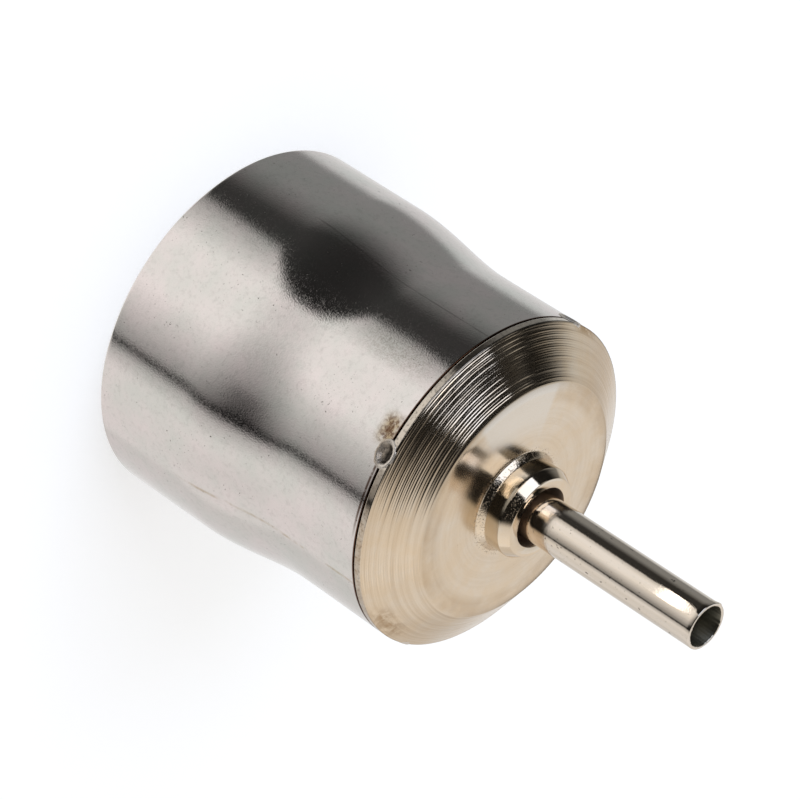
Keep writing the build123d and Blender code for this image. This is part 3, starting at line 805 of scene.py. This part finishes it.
def toward(azimuth, lift):
    """Unit vector at an azimuth from +X and a lift above level, in degrees."""
    a, e = math.radians(azimuth), math.radians(lift)
    return Vector((math.cos(a) * math.cos(e), math.sin(a) * math.cos(e), math.sin(e)))


softbox = bpy.data.lights.new("softbox", "AREA")
softbox.shape = "RECTANGLE"
softbox.size, softbox.size_y = SOFTBOX_WIDTH, SOFTBOX_HEIGHT
softbox.color = (0.7, 0.8, 1.0)
softbox.energy = SOFTBOX_LEVEL * math.pi * SOFTBOX_WIDTH * SOFTBOX_HEIGHT
lamp = bpy.data.objects.new("softbox", softbox)
softbox_way = toward(SOFTBOX_AZIMUTH, SOFTBOX_LIFT) * SOFTBOX_DISTANCE
lamp.location = LIT_POINT + softbox_way
lamp.rotation_euler = softbox_way.to_track_quat("Z", "Y").to_euler()
lamp.rotation_euler.rotate_axis("Z", math.radians(SOFTBOX_ROLL))
bpy.context.scene.collection.objects.link(lamp)

# Bounce card. It is a small white card with soft corners and a drooping edge, held close
# beside the tube, where it makes the bright patch near the tip. Only mirrors show it.
CARD_AZIMUTH, CARD_DISTANCE, CARD_HEIGHT = 240, 22, 37.6
CARD_HALF_LENGTH, CARD_HALF_WIDTH = 10.5, 1.2
CARD_DROOP_LEFT, CARD_DROOP_RIGHT = 2.0, 1.5
CARD_SQUARENESS, CARD_CORNERS = 0.45, 48
CARD_LIGHT = 2.6
card_outline = []
for k in range(CARD_CORNERS):
    turn = 2 * math.pi * k / CARD_CORNERS
    across = math.copysign(abs(math.cos(turn)) ** CARD_SQUARENESS, math.cos(turn))
    up = math.copysign(abs(math.sin(turn)) ** CARD_SQUARENESS, math.sin(turn))
    droop = (CARD_DROOP_LEFT if across < 0 else CARD_DROOP_RIGHT) * across ** 2
    card_outline.append((CARD_HALF_LENGTH * MM * across, (CARD_HALF_WIDTH * up - droop) * MM, 0))
card_mesh = bpy.data.meshes.new("bounce_card")
card_mesh.from_pydata(card_outline, [], [tuple(range(CARD_CORNERS))])
card = bpy.data.objects.new("bounce_card", card_mesh)
bpy.context.scene.collection.objects.link(card)
card.location = (toward(CARD_AZIMUTH, 0) * CARD_DISTANCE + Vector((0, 0, CARD_HEIGHT))) * MM
card.rotation_euler = (math.radians(90), 0, math.radians(CARD_AZIMUTH - 90))
card.visible_camera = card.visible_diffuse = card.visible_shadow = card.visible_transmission = False
card_paint = bpy.data.materials.new("white_card_lit")
card_paint.use_nodes = True
card_shader = card_paint.node_tree.nodes["Principled BSDF"]
card_shader.inputs["Emission Color"].default_value = WHITE
card_shader.inputs["Emission Strength"].default_value = CARD_LIGHT
card.data.materials.append(card_paint)

# Camera. It looks down at the nozzle from the facing side through a long lens, and is rolled
# so that the tube points down to the right.
CAMERA_PLACE = Vector((-48.528, -281.014, 199.797))
CAMERA_AZIMUTH, CAMERA_LIFT, CAMERA_ROLL = 260.5313, 32.66846, 123.2211
camera_data = bpy.data.cameras.new("camera")
camera_data.sensor_width, camera_data.lens = 36, 193.005
camera_data.clip_start, camera_data.clip_end = 0.01, 10
camera = bpy.data.objects.new("camera", camera_data)
camera.location = CAMERA_PLACE * MM
camera.rotation_euler = (math.radians(90 - CAMERA_LIFT), 0, math.radians(CAMERA_AZIMUTH + 90))
camera.rotation_euler.rotate_axis("Z", math.radians(CAMERA_ROLL))
bpy.context.scene.collection.objects.link(camera)
bpy.context.scene.camera = camera
bpy.context.scene.view_settings.view_transform = "Standard"
